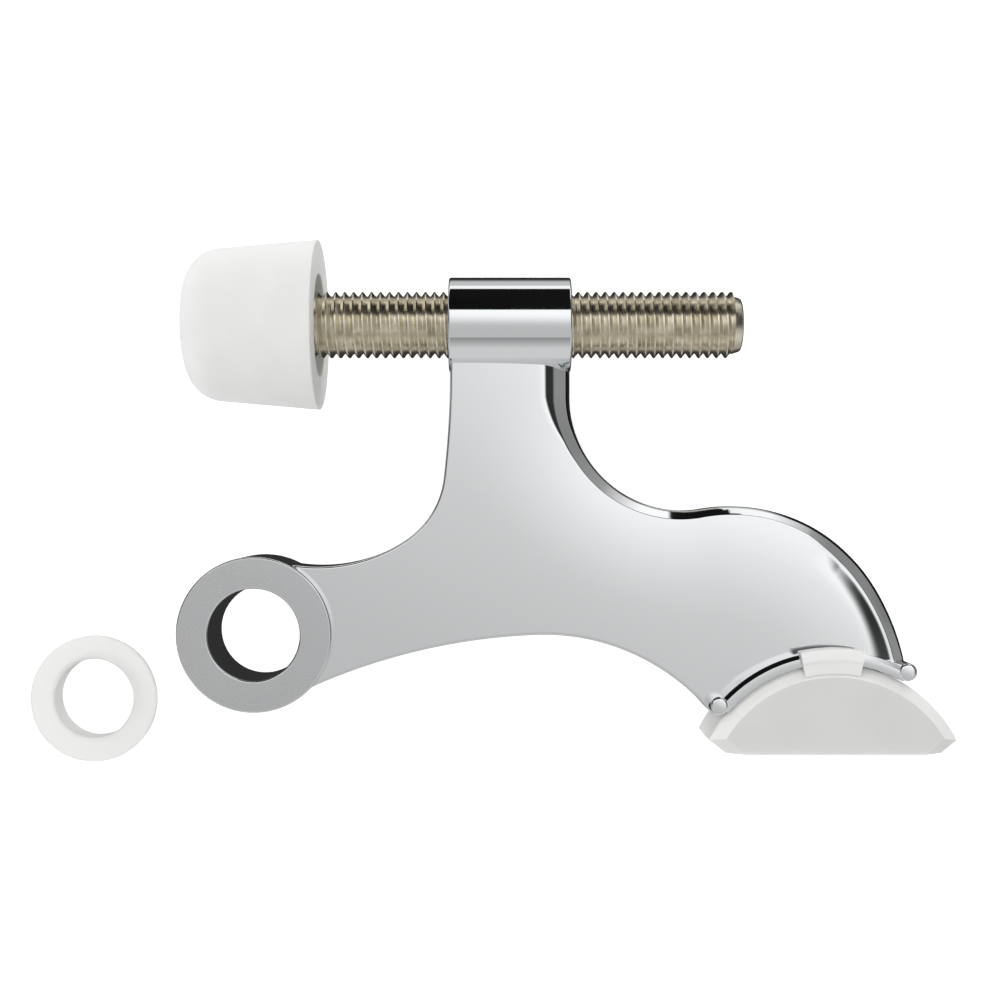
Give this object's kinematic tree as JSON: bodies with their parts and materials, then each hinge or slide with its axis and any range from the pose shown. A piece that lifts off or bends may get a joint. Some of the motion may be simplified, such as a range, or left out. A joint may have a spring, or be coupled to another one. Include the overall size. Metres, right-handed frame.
{
  "type": "hinge pin door stop",
  "caption": "Hinge pin door stop: plated cast arm with an adjusting screw, rubber bumper, rocking nylon shoe and pin bushing.",
  "frame": {"origin": "centre of the eye's bore, half-way through its depth, on the axis of the door's hinge pin", "axes": "+Z along the hinge pin, +X from the eye towards the foot and the screw's free tip (the bumper is at the -X end of the screw), +Y from the shoe's flat sole towards the screw"},
  "size_m": [0.1101, 0.0627, 0.02],
  "materials": {
    "chrome_plated_zinc": "polished chrome plate on cast zinc, the eye's two faces satin",
    "nickel_plated_steel": "warm nickel plate on a rolled or cut thread",
    "white_rubber": "matte moulded white rubber",
    "natural_nylon": "translucent natural white nylon, smooth from the mould"
  },
  "bodies": {
    "body": {"cast_body": "chrome_plated_zinc"},
    "bumper": {"bumper": "white_rubber"},
    "screw": {"adjusting_screw": "nickel_plated_steel"},
    "shoe": {"shoe": "natural_nylon"},
    "bushing": {"hinge_pin_bushing": "natural_nylon"}
  },
  "joints": [
    {"name": "bumper_travel", "type": "slide", "parent": "body", "child": "bumper", "axis": [1, 0, 0], "range_m": [-0.0205, 0.015]},
    {"name": "screw_turn", "type": "hinge", "parent": "bumper", "child": "screw", "pos_m": [0, 0.0362, 0], "axis": [1, 0, 0], "range_deg": [-6840, 5040]},
    {"name": "shoe_rock", "type": "hinge", "parent": "body", "child": "shoe", "pos_m": [0.0667, -0.0193, 0], "axis": [0, 0, 1], "range_deg": [-14, 32]},
    {"name": "bushing_lift", "type": "slide", "parent": "body", "child": "bushing", "axis": [0, 0, 1], "range_m": [0, 0.025]}
  ],
  "couplings": [
    {"joint": "bumper_travel", "follows": "screw_turn", "m_per_rad": 0.00016843}
  ]
}
